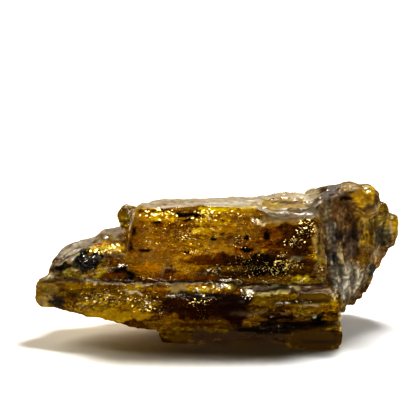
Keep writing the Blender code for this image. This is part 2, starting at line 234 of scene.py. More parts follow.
# Stains on the front: middle and half size in pixels of the front view, colour as it looks, and
# how far the stain hides the clear resin, from 0 to 1. A few of them are painted shade, a painted
# glow and painted highlights.
STAINS = {
    "window_left_edge": ((137, 240), (6, 24), (104, 60, 8), 0.6),
    "window_top_gold": ((156, 215), (20, 7), (176, 128, 14), 0.75),
    "window_mid_gold": ((205, 226), (30, 14), (152, 108, 10), 0.65),
    "window_swirl": ((183, 231), (13, 9), (104, 64, 8), 0.65),
    "window_low_gold": ((172, 254), (20, 10), (138, 92, 4), 0.5),
    # the resin's gold, made brighter here as a painted glow
    "window_painted_glow": ((172, 248), (26, 9), (148, 100, 4), 0.4),
    "window_top_red": ((165, 223), (14, 3), (112, 62, 10), 0.6),
    "window_speckle": ((158, 235), (12, 4), (96, 54, 10), 0.6),
    "window_olive": ((218, 249), (20, 5), (146, 106, 12), 0.6),
    "window_umber": ((242, 248), (12, 7), (84, 44, 10), 0.85),
    "window_red": ((274, 241), (19, 14), (84, 42, 8), 0.85),
    "window_dark": ((297, 238), (18, 17), (38, 17, 7), 0.95),
    "window_low_dark": ((285, 255), (28, 6), (44, 22, 10), 0.92),
    "window_dark_corner": ((284, 226), (9, 4), (30, 12, 6), 0.85),
    "cove_brown": ((214, 260), (34, 5), (54, 24, 6), 0.92),
    "cove_deep": ((240, 264), (16, 7), (36, 18, 7), 0.92),
    "cove_black": ((258, 266), (38, 11), (12, 7, 4), 0.96),
    "cove_olive": ((222, 272), (32, 7), (64, 40, 8), 0.9),
    "cove_right": ((308, 270), (14, 10), (52, 30, 8), 0.95),
    "cove_green": ((300, 280), (9, 4), (164, 140, 26), 0.75),
    "cove_grey": ((297, 259), (8, 2.6), (66, 66, 54), 0.9),
    "low_orange": ((150, 269), (13, 7), (182, 120, 4), 0.5),
    "low_red": ((170, 279), (50, 3.5), (84, 34, 8), 0.85),
    "bubble_brown": ((169, 271), (7, 4.5), (40, 17, 7), 0.9),
    "left_black": ((129, 277), (8, 7), (10, 6, 4), 1.0),
    "left_black_top": ((120, 270), (9, 4.5), (12, 7, 5), 1.0),
    "facet_top": ((110, 238), (13, 4), (120, 92, 48), 0.98),
    "facet_orange": ((104, 245), (12, 4), (232, 156, 14), 0.85),
    "facet_gold": ((96, 251), (9, 3.5), (208, 151, 28), 1.0),
    "facet_bright": ((115, 249), (8, 5), (218, 168, 38), 1.0),
    "facet_brown": ((112, 262), (14, 5), (96, 58, 12), 0.8),
    "shoulder_white": ((68, 250), (17, 11), (160, 150, 136), 1.0),
    "gloss_black": ((88, 262), (15, 11), (8, 5, 4), 1.0),
    "gloss_black_left": ((66, 267), (14, 4), (26, 20, 16), 1.0),
    "gloss_black_low": ((81, 269), (11, 6), (14, 9, 6), 1.0),
    "gloss_black_up": ((98, 256), (8, 5), (10, 7, 6), 1.0),
    "gloss_black_tail": ((60, 270), (12, 2.4), (24, 18, 14), 1.0),
    "shoulder_olive": ((66, 274), (13, 5), (98, 82, 38), 0.85),
    "shoulder_red": ((108, 276), (20, 5), (80, 38, 8), 0.85),
    "corner_grey": ((117, 231), (9, 6), (142, 126, 108), 1.0),
    "corner_ball": ((127, 219), (8, 11), (104, 78, 24), 0.65),
    "nose_tan": ((46, 292), (15, 12), (108, 84, 38), 0.95),
    "nose_grey": ((45, 300), (10, 7), (104, 88, 54), 1.0),
    "nose_black": ((56, 300), (8, 7), (34, 30, 28), 1.0),
    "nose_under": ((85, 309), (26, 6), (122, 94, 44), 0.8),
    # the nose's up-facing ledge painted darker: painted shade against the strong light from above
    "nose_ledge_painted_shade": ((64, 281), (28, 3), (62, 50, 28), 1.0),
    "slab_gold": ((118, 302), (32, 12), (146, 110, 18), 0.4),
    "slab_yellow": ((132, 304), (20, 5), (150, 112, 12), 0.6),
    "slab_amber": ((166, 312), (9, 8), (116, 76, 10), 0.7),
    "slab_pale": ((118, 316), (32, 6), (172, 140, 36), 0.75),
    "slab_speckled": ((105, 292), (18, 4), (96, 66, 12), 0.60),
    "slab_orange": ((160, 291), (10, 4), (132, 78, 8), 0.40),
    "slab_tongue": ((172, 296), (9, 2.4), (176, 142, 18), 0.50),
    "slab_dark": ((205, 306), (50, 13), (32, 13, 5), 0.96),
    "slab_red": ((234, 309), (17, 16), (26, 6, 3), 0.97),
    "slab_mound": ((185, 325), (28, 5), (70, 46, 10), 0.92),
    "sandy_scar": ((179, 288), (9, 5.5), (128, 112, 74), 1.0),
    "chamfer": ((210, 288), (22, 4.5), (170, 130, 46), 0.60),
    "lens_ledge": ((272, 289.5), (25, 4), (156, 148, 104), 1.0),
    "facet_shadow": ((238, 301), (14, 5), (26, 12, 8), 0.98),
    "olive_facet": ((275, 301), (23, 8), (104, 80, 20), 0.85),
    "lip": ((252, 313), (25, 2.2), (60, 44, 24), 1.0),
    "recess": ((283, 317), (20, 5), (24, 10, 5), 0.98),
    "recess_tan": ((286, 323), (16, 2.5), (70, 50, 18), 0.70),
    "black_band": ((272, 329), (40, 5), (18, 14, 11), 1.0),
    "foot_line": ((276, 331), (28, 1.8), (30, 20, 10), 1.0),
    "foot_rim": ((232, 339), (66, 8), (54, 42, 33), 1.0),
    "left_foot": ((178, 335), (18, 6), (84, 62, 22), 0.9),
    "step_red": ((312, 288), (16, 3.5), (84, 44, 12), 0.95),
    "right_step": ((313, 297), (18, 5.5), (84, 62, 22), 0.95),
    "step_gold": ((333, 303), (5, 6), (206, 150, 14), 0.45),
    "step_brown": ((308, 322), (20, 6), (60, 38, 12), 0.85),
    "foot_dark": ((307, 339), (6, 4), (34, 20, 8), 0.95),
    "foot_black": ((316, 332), (22, 2.4), (20, 15, 10), 0.98),
    "socket": ((317, 318), (8, 6), (9, 6, 5), 1.0),
    # a pale spot in the black socket: a painted highlight
    "socket_painted_highlight": ((314, 316), (2.4, 1.7), (206, 214, 222), 1.0),
    "right_foot": ((316, 340), (28, 13), (60, 44, 22), 1.0),
    "tan_band": ((320, 240), (7, 26), (92, 70, 40), 1.0),
    "tan_band_low": ((320, 274), (7, 12), (80, 62, 36), 0.95),
    "top_right_tan": ((283, 205), (30, 6), (168, 134, 62), 1.0),
    "top_right_grey": ((287, 217.5), (29, 4.5), (106, 88, 58), 1.0),
    "top_right_gold": ((268, 204), (11, 4), (190, 150, 40), 0.95),
    "top_right_sand": ((294, 206), (12, 3.5), (186, 152, 88), 1.0),
    "top_rise": ((312, 193), (11, 5), (176, 158, 118), 1.0),
    "lip_right": ((315, 222), (6, 5), (74, 52, 26), 0.97),
    "lip_under": ((292, 227), (18, 3.5), (44, 20, 8), 0.95),
    "top_right_shade": ((300, 211), (14, 1.8), (84, 66, 46), 1.0),
    "top_far_right": ((315, 207), (8, 8), (96, 82, 58), 1.0),
    "lobe_dark_band": ((332, 240), (6, 42), (112, 106, 102), 1.0),
    "lobe_crown_brown": ((334, 194), (12, 8), (64, 48, 36), 1.0),
    "band_pale": ((327, 212), (4, 10), (124, 112, 88), 1.0),
    "band_tan": ((327, 248), (3.5, 10), (112, 96, 62), 1.0),
    "band_black_a": ((337, 204), (4, 7), (42, 38, 38), 1.0),
    "band_black_b": ((341, 234), (4, 8), (40, 38, 40), 1.0),
    "band_black_c": ((335, 262), (3.5, 9), (42, 44, 46), 1.0),
    "lobe_black": ((338, 222), (3, 20), (38, 34, 34), 1.0),
    "lobe_brown": ((342, 210), (13, 22), (100, 74, 46), 0.98),
    "lobe_tan": ((362, 222), (10, 17), (110, 84, 36), 0.95),
    "lobe_gold": ((367, 238), (5, 9), (160, 122, 30), 0.9),
    "lobe_purple": ((352, 244), (7, 18), (66, 52, 42), 1.0),
    "lobe_olive": ((379, 218), (11, 13), (112, 92, 40), 0.95),
    "lobe_shade": ((384, 238), (9, 9), (66, 60, 46), 1.0),
    "lobe_grey": ((348, 284), (18, 22), (140, 136, 126), 1.0),
    "lobe_grey_dark": ((371, 270), (6, 7), (50, 50, 46), 1.0),
    "lobe_rust": ((380, 262), (9, 4), (116, 80, 46), 0.9),
    "lobe_foot": ((348, 304), (14, 5), (120, 100, 58), 1.0),
    "crown_spot": ((356, 193), (6.5, 4.5), (14, 8, 6), 1.0),
    "crown_spot_left": ((345, 199), (6, 2), (26, 16, 8), 0.95),
    "crown_amber": ((364, 194), (13, 10), (242, 188, 40), 0.6),
    "crown_top": ((354, 187), (16, 5), (190, 146, 56), 0.9),
    "cheek_amber": ((385, 205), (6, 5), (206, 160, 50), 0.40),
    "ear_amber": ((394, 222), (6, 11), (158, 120, 26), 0.75),
    "flake_top": ((189, 215), (13, 3.2), (14, 6, 3), 1.0),
    "flake_a": ((157, 222.5), (5, 2), (16, 8, 4), 1.0),
    "flake_b": ((187, 221), (5, 2), (16, 8, 4), 1.0),
    "flake_c": ((213, 239), (4.5, 2.2), (10, 6, 4), 1.0),
    "flake_d": ((187, 252.5), (4.6, 2.0), (12, 7, 4), 1.0),
    "flake_e": ((145, 250), (7, 2), (24, 11, 4), 1.0),
    "flake_f": ((222, 234), (4, 1.5), (40, 22, 6), 0.9),
    "flake_g": ((234, 237), (8, 2.2), (62, 46, 12), 0.9),
    "flake_h": ((247, 238), (4.6, 4.2), (9, 5, 4), 1.0),
    "flake_i": ((246, 249.5), (7, 2.3), (12, 7, 4), 1.0),
    "flake_j": ((265, 237), (4, 3.8), (12, 7, 5), 1.0),
    "flake_k": ((133, 232), (2.5, 4), (20, 10, 4), 0.95),
    "flake_l": ((131, 246), (2, 5), (24, 12, 5), 0.9),
}

# Lines on the front: points in pixels, width in pixels, colour, cover, and height in millimetres.
# A few of them are painted shade and painted highlights.
LINES = {
    "seam_shadow": (((44, 281), (80, 280), (118, 281), (160, 281), (215, 281)),
                    1.2, (84, 44, 14), 0.8, -0.1),
    # pale line along the seam's rim: a painted highlight on the bevel, with a little relief
    "seam_rim_painted_highlight": (((88, 284), (118, 283.5), (160, 283), (200, 283), (238, 284)),
                 0.7, (214, 192, 158), 1.0, 0.1),
    "nose_rim": (((38, 285), (60, 282), (90, 284)), 0.5, (118, 98, 62), 1.0, 0.05),
    "bubble_ring": (((162, 275), (164, 269), (168, 266.5), (174, 268)), 0.6, (104, 84, 66), 0.9, 0.05),
    "crack_rim": (((136, 208), (133, 218), (131, 226), (129, 236)), 1.0, (186, 170, 132), 1.0, 0.06),
    "crack_dark": (((133, 236), (128, 248), (124, 262)), 1.0, (44, 24, 10), 0.9, -0.2),
    "rim_yellow": (((200, 210), (225, 208.5), (254, 207)), 3.2, (255, 220, 24), 0.7, 0.0),
    "rim_shadow": (((140, 211), (165, 210), (200, 211)), 1.2, (60, 30, 8), 0.9, -0.1),
    # near-white streak at the lip's left end: a painted highlight, with a little relief
    "lip_painted_highlight": (((252, 219), (257, 222.5), (264, 224.5)), 1.6, (238, 240, 244), 1.0, 0.1),
    "top_crack_a": (((262, 208), (275, 211), (290, 208), (305, 210), (313, 207)),
                    1.2, (74, 56, 34), 1.0, -0.15),
    "top_crack_b": (((272, 201), (284, 203), (298, 202), (312, 205)), 0.9, (96, 74, 44), 1.0, -0.1),
    "tan_line": (((326, 214), (328, 238), (326, 262)), 1.0, (146, 136, 116), 1.0, 0.1),
    "tan_line_pale": (((315, 226), (316.5, 234), (315, 242), (316, 252)), 0.6, (156, 130, 84), 0.8, 0.1),
    "tan_line_dark": (((318, 222), (320, 238), (318, 254)), 0.8, (52, 38, 20), 1.0, -0.1),
    "lip_edge": (((256, 223), (275, 222), (300, 219.5), (313, 218)), 0.5, (150, 134, 104), 1.0, 0.05),
    "ledge_top": (((244, 288), (256, 285.5), (275, 284.5), (290, 286), (299, 289)),
                  0.8, (214, 206, 170), 1.0, 0.1),
    "ledge_low": (((246, 290), (258, 293.5), (276, 294), (298, 290)), 0.7, (206, 198, 160), 1.0, 0.1),
    "step_rim": (((297, 296), (306, 292.5), (316, 290.5), (328, 289.5)), 0.6, (206, 178, 134), 1.0, 0.06),
    "step_edge": (((329, 289), (332, 294), (335, 300)), 0.9, (222, 202, 166), 1.0, 0.1),
    # pale line down the slab's right end: a painted highlight on the edge
    "end_rim_painted_highlight": (((333, 280), (337, 296), (340, 312), (341, 330)), 1.1, (206, 190, 164), 1.0, 0.05),
    "rim_line": (((245, 330), (268, 331), (290, 333)), 1.2, (18, 12, 8), 1.0, -0.2),
    "rim_edge": (((190, 341), (225, 339), (262, 338), (285, 342)), 0.7, (120, 100, 78), 0.9, 0.1),
    "lip_top": (((234, 311), (246, 316), (258, 313), (268, 311), (283, 313), (298, 315)),
                1.4, (100, 82, 56), 1.0, 0.2),
    "grey_vein": (((299, 306), (308, 305), (318, 306)), 1.0, (112, 102, 88), 1.0, 0.1),
    "vein_left": (((124, 289), (130, 292), (136, 291), (141, 295), (147, 296)),
                  0.8, (172, 164, 146), 1.0, 0.1),
    "vein_left_top": (((138, 284), (144, 286), (148, 285)), 1.0, (190, 180, 160), 1.0, 0.1),
    "green_streak": (((90, 280), (96, 277), (104, 271)), 1.6, (146, 138, 26), 0.7, 0.0),
    "facet_ridge": (((88, 247), (96, 240), (104, 236), (122, 240)), 1.0, (120, 100, 70), 0.9, 0.1),
    "shoulder_vein_a": (((52, 268), (66, 258), (84, 250)), 1.0, (70, 62, 52), 1.0, -0.15),
    "shoulder_vein_b": (((58, 262), (72, 250), (92, 240)), 0.8, (110, 98, 84), 1.0, -0.1),
    "lobe_vein_a": (((332, 262), (338, 280), (344, 298)), 1.3, (196, 190, 168), 1.0, 0.12),
    "lobe_vein_b": (((340, 256), (347, 274), (350, 292)), 1.2, (184, 176, 150), 1.0, 0.12),
    "lobe_vein_c": (((358, 262), (358, 276), (354, 292)), 1.2, (190, 184, 160), 1.0, 0.12),
    "lobe_vein_d": (((336, 258), (341, 270), (343, 284)), 1.3, (48, 50, 48), 1.0, -0.2),
    "lobe_vein_e": (((352, 262), (354, 272), (353, 284)), 1.3, (62, 58, 50), 1.0, -0.2),
    "lobe_edge": (((388, 214), (391, 222), (391, 232)), 1.0, (150, 138, 122), 1.0, 0.1),
}

# Relief alone along a line: points in pixels, width in pixels, height in millimetres
DENTS = {
    "lip_lens": (((256, 221), (275, 219), (290, 217.5), (310, 215)), 7, 0.14),
    "foot_rim": (((180, 338), (220, 337), (255, 335), (288, 337)), 7, 0.22),
}

# Smooth places: middle and half size in pixels, and how smooth and even they are, from 0 to 1
CALM = {
    "window_amber": ((162, 255), (26, 10), 0.75),
    "window_lens": ((182, 232), (12, 8), 0.5),
    "window_olive": ((216, 250), (20, 5), 0.5),
    "window_gold": ((222, 226), (12, 6), 0.4),
    "window_left": ((141, 228), (8, 18), 0.6),
    "cove_glass": ((215, 259), (28, 4), 0.6),
    "cove_low": ((205, 276), (40, 5), 0.5),
    "slab_heart": ((234, 309), (17, 15), 0.9),
    "slab_dark": ((190, 318), (30, 5), 0.6),
    "slab_pale": ((118, 315), (34, 6), 0.8),
    "slab_tongue": ((166, 296), (12, 4), 0.5),
    "rim": ((232, 338), (66, 7), 0.85),
    "olive_facet": ((272, 302), (22, 6), 0.5),
    "step": ((314, 297), (17, 5), 0.8),
    "foot": ((316, 341), (28, 11), 0.95),
    "recess": ((285, 318), (22, 5), 0.6),
    "lip": ((286, 217), (28, 5), 0.7),
    "orange_low": ((148, 269), (17, 8), 0.8),
    "nose": ((48, 296), (16, 12), 0.5),
    "ear": ((393, 222), (8, 12), 0.6),
    "cheek": ((362, 196), (20, 12), 0.6),
    "sandy_scar": ((179, 288), (9, 5.5), 0.8),
}

# Dull places: middle and half size in pixels, and how much of the shine is gone
DULL = {
    "slab_bevel": ((206, 294), (28, 5), 0.85),
    "foot": ((318, 340), (24, 9), 0.8),
    "slab_heart": ((234, 309), (17, 15), 0.6),
    "gloss_black": ((84, 265), (20, 9), 0.3),
}

# Hackly patches that sparkle: middle and half size in pixels, how many chips glint there, and the
# smallest and largest chip in millimetres
SPARKLES = {
    "window_corner": ((306, 228), (8, 7), 90, (0.12, 0.30)),
    "window_right": ((294, 241), (9, 6), 60, (0.10, 0.28)),
    "window_slant": ((283, 254), (6, 3), 16, (0.10, 0.24)),
    "gold_heap": ((289, 264), (12, 4), 90, (0.12, 0.30)),
    "cove_right": ((278, 270), (13, 7), 34, (0.10, 0.24)),
    "cove_dots": ((252, 266), (28, 11), 130, (0.06, 0.14)),
    "cove_left": ((215, 269), (7, 4), 14, (0.10, 0.24)),
    "slab_dots": ((198, 302), (17, 5), 44, (0.07, 0.16)),
    "slab_fan": ((202, 316), (8, 6), 24, (0.05, 0.13)),
    "window_top_left": ((158, 214), (16, 5), 34, (0.12, 0.28)),
    "window_top_mid": ((205, 216), (11, 6), 40, (0.12, 0.32)),
    "window_top_right": ((240, 216), (12, 6), 12, (0.08, 0.20)),
    "window_field": ((190, 235), (52, 22), 90, (0.05, 0.14)),
    "window_left_dot": ((152, 243), (5, 1.5), 8, (0.10, 0.22)),
    "gold_low": ((192, 252), (8, 2.5), 10, (0.08, 0.20)),
    "chamfer": ((208, 288), (22, 4), 26, (0.12, 0.30)),
    "slab_left": ((112, 296), (38, 10), 64, (0.06, 0.17)),
    "slab_left_low": ((150, 309), (18, 7), 16, (0.10, 0.22)),
    "facet": ((112, 250), (12, 4), 20, (0.08, 0.22)),
    "facet_gleam": ((97, 252), (6, 2), 16, (0.16, 0.38)),
    "facet_shine": ((114, 249), (6, 3.5), 24, (0.16, 0.40)),
    "tan_band": ((321, 268), (3, 3), 6, (0.10, 0.22)),
    "gold_right": ((242, 242), (8, 5), 20, (0.07, 0.15)),
    "yellow_bit": ((300, 281), (6, 2.5), 9, (0.10, 0.26)),
    "low_red": ((150, 279), (30, 3), 14, (0.08, 0.20)),
}

# The same, where the chips are cold and white
COOL_SPARKLES = {
    "gloss": ((87, 261), (13, 9), 12, (0.06, 0.13)),
    "white_step": ((247, 294), (6, 4.5), 70, (0.14, 0.36)),
    "grey_step": ((224, 287), (9, 2.6), 16, (0.12, 0.28)),
    "blue_step": ((195, 290), (6, 2.5), 16, (0.12, 0.30)),
    "lip_point": ((255, 221), (4, 2), 7, (0.14, 0.30)),
    "facet_point": ((105, 238), (4, 1.5), 5, (0.14, 0.28)),
    "crown_point": ((366, 188), (3, 1.2), 3, (0.12, 0.24)),
    "socket": ((315, 316), (3, 1.6), 9, (0.18, 0.40)),
    "left_black": ((124, 265), (5, 2.5), 8, (0.12, 0.28)),
    "seam_dot": ((150, 242), (4, 1.5), 4, (0.12, 0.24)),
    "cove_white": ((212, 269), (7, 3), 8, (0.10, 0.24)),
    "vein_dots": ((127, 299), (3, 2), 4, (0.12, 0.24)),
    "slab_dots": ((162, 313), (4, 4), 4, (0.07, 0.15)),
}

# The ways that a facet faces when it mirrors the overhead light or a glint into the front view
MIRROR_WAYS = ((0, -0.68, 0.73), (0.07, -0.69, 0.72), (-0.07, -0.69, 0.72))
MIRROR_SPREAD = 0.09

# In the cove the face above hides the light overhead, and the facets mirror the glints at the sides
COVE_TOP_Z = 19.0
SIDE_WAYS = ((0.31, -0.88, 0.34), (-0.28, -0.88, 0.38))
SIDE_SPREAD = 0.07

CHIP_TRIES = 1.6                        # places tried for each chip that is meant to stay
CHIP_SPACING = 1.7                      # the least distance between chips, in their own sizes
LEANING_SHARE = 0.85                    # how many of them face a mirror way
CROWDED = 1.6                           # how strongly the number of chips in a place makes it hackly

# Where bits of bark and little cracks lie: middle and half size in pixels, and how many are tried
FLECK_FIELDS = (((195, 232), (60, 24), 220), ((270, 245), (40, 24), 150), ((150, 270), (18, 8), 30),
                ((110, 300), (50, 14), 110), ((205, 308), (50, 16), 80), ((280, 302), (40, 10), 70),
                ((105, 250), (16, 8), 30), ((370, 200), (12, 14), 14))
CRACK_FIELDS = (((165, 216), (28, 8), 90), ((208, 216), (14, 8), 60), ((190, 236), (54, 22), 150),
                ((108, 250), (16, 7), 50), ((110, 300), (40, 12), 70), ((272, 300), (26, 8), 40))

# Resin: how it bends light, and what is left of it after a stretch through the piece
RESIN_IOR = 1.54
RESIN_PASSES = (0.9625, 0.9156, 0.0, 1)
RESIN_DENSITY = 320.0
SHADOW_AMBER = (0.26, 0.16, 0.04, 1)    # what it lets through into its shadow
SKIN_GLOW = 0.35                        # how much of the crust's light comes from within
BRIGHTEST_SKIN = (1.1, 0.84, 0.33, 1)   # the crust's own colours stay under these
BRIGHTEST_RESIN = (1.0, 0.86, 0.3, 1)   # and the clear resin's
# pale gold specks on the clear resin: painted highlights
GOLD_HIGHLIGHT_SPECKS = (1.0, 0.84, 0.32, 1)
BLACK_PEPPER = (0.02, 0.006, 0.001, 1)
BUMP_HEIGHT = 0.0004
PER_MM = (1000, 1000, 1000)             # texture places in millimetres
LONG_GRAINS = (450, 800, 1000)          # and stretched along the layers

# The floor, in metres, fades to plain white light between these distances
FLOOR_RADIUS = 3.0
FADE_NEAR, FADE_FAR = 0.10, 0.28

# Colours as they look
CHIP_CREAM = (255, 230, 146)
CHIP_WHITE = (236, 242, 250)
BARK_BROWN = (38, 20, 8)
CRACK_GOLD = (255, 226, 110)


def add_chunk(bm, corners):
    """A broken lump: the flat-faced hull of its corners."""
    corner_verts = [bm.verts.new(corner) for corner in corners]
    hull = bmesh.ops.convex_hull(bm, input=corner_verts)
    inside = {v for v in hull["geom_interior"] if isinstance(v, bmesh.types.BMVert)}
    bmesh.ops.delete(bm, geom=list(inside), context="VERTS")


def add_drop(bm, centre, radii, roundness=4):
    place = Matrix.Translation(centre) @ Matrix.Diagonal((*radii, 1))
    bmesh.ops.create_icosphere(bm, subdivisions=roundness, radius=1, matrix=place)


def new_object(name, bm):
    mesh = bpy.data.meshes.new(name)
    bm.to_mesh(mesh)
    bm.free()
    obj = bpy.data.objects.new(name, mesh)
    bpy.context.scene.collection.objects.link(obj)
    return obj


def apply_modifiers(obj):
    graph = bpy.context.evaluated_depsgraph_get()
    mesh = bpy.data.meshes.new_from_object(obj.evaluated_get(graph))
    obj.modifiers.clear()
    obj.data = mesh


def add_remesh(obj):
    remesh = obj.modifiers.new("fuse", "REMESH")
    remesh.mode = "VOXEL"
    remesh.voxel_size = FINE_VOXEL


def fused_body(name):
    """The chunks and drops as one closed skin, with the hollows taken out."""
    bm = bmesh.new()
    for corners in CHUNKS.values():
        add_chunk(bm, corners)
    for centre, radii in DROPS.values():
        add_drop(bm, centre, radii)
    body = new_object(name, bm)
    add_remesh(body)
    scoops = []
    for scoop_name, (centre, radii) in SCOOPS.items():
        bm = bmesh.new()
        add_drop(bm, centre, radii)
        scoops.append(new_object(scoop_name, bm))
        cut = body.modifiers.new(scoop_name, "BOOLEAN")
        cut.operation = "DIFFERENCE"
        cut.solver = "MANIFOLD"
        cut.object = scoops[-1]
    add_remesh(body)
    apply_modifiers(body)
    for scoop in scoops:
        bpy.data.objects.remove(scoop, do_unlink=True)
    return body


def ramp(low, high, value):
    """0 below low, 1 above high, smooth between; it falls where low is above high."""
    t = np.clip((value - low) / (high - low), 0.0, 1.0)
    return t * t * (3 - 2 * t)


def broken_share(points, normals):
    """How much of the surface is broken resin, from 0 on crust to 1 on the front faces."""
    faces_front = ramp(0.3, 0.75, -normals[:, Y])
    on_lobe = ramp(21.0, 23.0, points[:, X]) * ramp(3.2, 4.6, points[:, Y])
    return faces_front * (1 - on_lobe)


def each(function, points):
    """A function of one place, for every point."""
    return np.array([function(Vector(p)) for p in points])


def wave(points, relief_kind, offset=0.0):
    """The height of one kind of relief, up and down about zero."""
    waves, height = relief_kind
    return height * each(noise.noise, points * waves + (offset, 0, 0))


def crust_relief(points, normals):
    """Lumps, pits between them, flutes down the lobe's foot, and grain along the top."""
    waves, height = LUMPS
    stands_out = height * each(lambda p: noise.fractal(p, 0.9, 2.1, 4), points * waves)
    waves, depth = PITS
    pitted = each(lambda p: noise.ridged_multi_fractal(p, 0.8, 2.2, 3, 0.9, 1.6), points * waves)
    stands_out -= depth * (pitted - 1.2)
    on_lobe_foot = ramp(22, 27, points[:, X]) * ramp(24, 14, points[:, Z])
    stands_out += wave(points, FLUTES) * on_lobe_foot
    on_top = ramp(0.5, 0.85, normals[:, Z]) * ramp(22, 25, points[:, Z])
    return stands_out * (1 - 0.5 * on_top) + wave(points, GRAIN) * on_top


def resin_relief(points):
    """Slow ripples, and the slab's layers and chipped steps."""
    waves, height = CHIPS
    shifts = each(lambda p: 0.6 * noise.noise_vector(p), points * 0.2)
    chipped = each(noise.cell, points * waves + shifts) - 0.5
    on_slab = ramp(LEDGE_Z + 2.5, LEDGE_Z - 1.5, points[:, Z])
    layered = wave(points, LAYERS, offset=3.1) * (WINDOW_LAYERS + (1 - WINDOW_LAYERS) * on_slab)
    return wave(points, RIPPLES) + layered + height * chipped * on_slab


def read_points(mesh):
    points = np.zeros(len(mesh.vertices) * 3, np.float32)
    mesh.vertices.foreach_get("co", points)
    return points.reshape(-1, 3).astype(float)


def read_normals(mesh):
    normals = np.zeros(len(mesh.vertices) * 3, np.float32)
    mesh.vertex_normals.foreach_get("vector", normals)
    return normals.reshape(-1, 3).astype(float)


def smooth_over(obj, rounds, left_of=math.inf):
    """Rounds the body off a little, or only the part of it left of an X."""
    bm = bmesh.new()
    bm.from_mesh(obj.data)
    verts = [v for v in bm.verts if v.co.x < left_of]
    for _ in range(rounds):
        bmesh.ops.smooth_vert(bm, verts=verts, factor=0.5, use_axis_x=True, use_axis_y=True,
                              use_axis_z=True)
    bm.to_mesh(obj.data)
    bm.free()


def stand_out(obj, heights):
    """Moves every point of the surface out along its normal."""
    moved = read_points(obj.data) + read_normals(obj.data) * heights[:, None]
    obj.data.vertices.foreach_set("co", moved.astype(np.float32).ravel())
    obj.data.update()


def cut_flat(obj):
    """Takes off all below the table, and closes the flat of the feet."""
    bm = bmesh.new()
    bm.from_mesh(obj.data)
    everything = list(bm.verts) + list(bm.edges) + list(bm.faces)
    bmesh.ops.bisect_plane(bm, geom=everything, dist=0, plane_co=(0, 0, 0), plane_no=(0, 0, -1),
                           clear_outer=True)
    rim = [e for e in bm.edges if e.is_boundary]
    filled = bmesh.ops.holes_fill(bm, edges=rim, sides=0)
    bmesh.ops.triangulate(bm, faces=filled["faces"])
    bm.to_mesh(obj.data)
    bm.free()


class Front:
    """The front view of a body: which place lies behind a pixel, and behind which pixel a place lies."""

    def __init__(self, obj):
        points = [v.co for v in obj.data.vertices]
        self.tree = BVHTree.FromPolygons(points, [p.vertices for p in obj.data.polygons])
        self.forward = (CAMERA_AIM - CAMERA_AT).normalized()
        self.right = Vector((1, 0, 0))
        self.up = self.right.cross(self.forward)

    def hit(self, across, down):
        """The place and the normal behind a pixel, or None beside the body."""
        middle = FRAME_PIXELS / 2
        way = self.forward + self.right * (across - middle) * PIXEL - self.up * (down - middle) * PIXEL
        place, normal, _, _ = self.tree.ray_cast(CAMERA_AT, way.normalized())
        return (place, normal) if place else None

    def depth(self, place):
        return (Vector(place) - CAMERA_AT).dot(self.forward)

    def see(self, points, normals):
        """Every point's pixel across and down, its depth, and how far it faces the view."""
        away = points - np.array(CAMERA_AT)
        depth = away @ np.array(self.forward)
        across = FRAME_PIXELS / 2 + away @ np.array(self.right) / depth / PIXEL
        down = FRAME_PIXELS / 2 - away @ np.array(self.up) / depth / PIXEL
        faces = -(normals * away).sum(axis=1) / np.linalg.norm(away, axis=1)
        return across, down, depth, ramp(-0.1, 0.05, faces)


def wobbling(points):
    """A smooth shift for every point, the same each time."""
    noise.seed_set(WOBBLE_SEED)
    return each(noise.noise_vector, points * WOBBLE_WAVES)


def along(points, path):
    """The distance of every point from a path."""
    nearest = np.full(len(points), 1e9)
    for start, end in zip(path, path[1:]):
        start, end = np.array(start), np.array(end)
        run = end - start
        share = np.clip((points - start) @ run / max(run @ run, 1e-9), 0, 1)
        nearest = np.minimum(nearest, np.linalg.norm(points - start - share[:, None] * run, axis=1))
    return nearest


def line_mask(points, wobble, front, path_pixels, width):
    """How near every point is to a line over the surface, from 0 to 1."""
    hits = [front.hit(*pixel) for pixel in path_pixels]
    path = [hit[0] for hit in hits if hit]
    if len(path) < 2:
        return np.zeros(len(points))
    reach = width * PIXEL_MM * 0.5 + FINE_VOXEL * 0.5
    return ramp(1.5 * reach, 0.5 * reach, along(points + 0.25 * wobble, path))


def stain_mask(seen, wobble, front, middle, half_size):
    """An uneven oval of pixels, on the surface that lies behind its middle."""
    hit = front.hit(*middle)
    if not hit:
        return np.zeros(len(wobble))
    across, down, depth, faces = seen
    wide, high = half_size
    uneven = 0.85 * min(wide, high, 8)
    off = np.hypot((across - middle[0] + uneven * wobble[:, X]) / wide,
                   (down - middle[1] + uneven * wobble[:, Z]) / high)
    reach = max(1.5 * wide * PIXEL_MM, 4.0)
    if hit[1].z > 0.6:
        reach += high * PIXEL_MM / math.sin(PITCH)
    near = ramp(1.4 * reach, reach, np.abs(depth - front.depth(hit[0])))
    return ramp(1.15, 0.8, off) * near * faces


def crowding(seen, wobble, front):
    """How hackly every point is, by how many chips glint around it."""
    crowded = np.zeros(len(wobble))
    for middle, half_size, count, _ in (*SPARKLES.values(), *COOL_SPARKLES.values()):
        crowd = min(1.0, CROWDED * count / (half_size[0] * half_size[1]))
        crowded = np.maximum(crowded, crowd * stain_mask(seen, wobble, front, middle, half_size))
    return crowded


def srgb(r, g, b):
    """A colour as it looks in the finished view, 0 to 255, in the renderer's linear values."""
    shown = np.array([(v / 255) ** 2.2 for v in (r, g, b)])
    return GREY * (shown / GREY) ** (1 / CONTRAST)


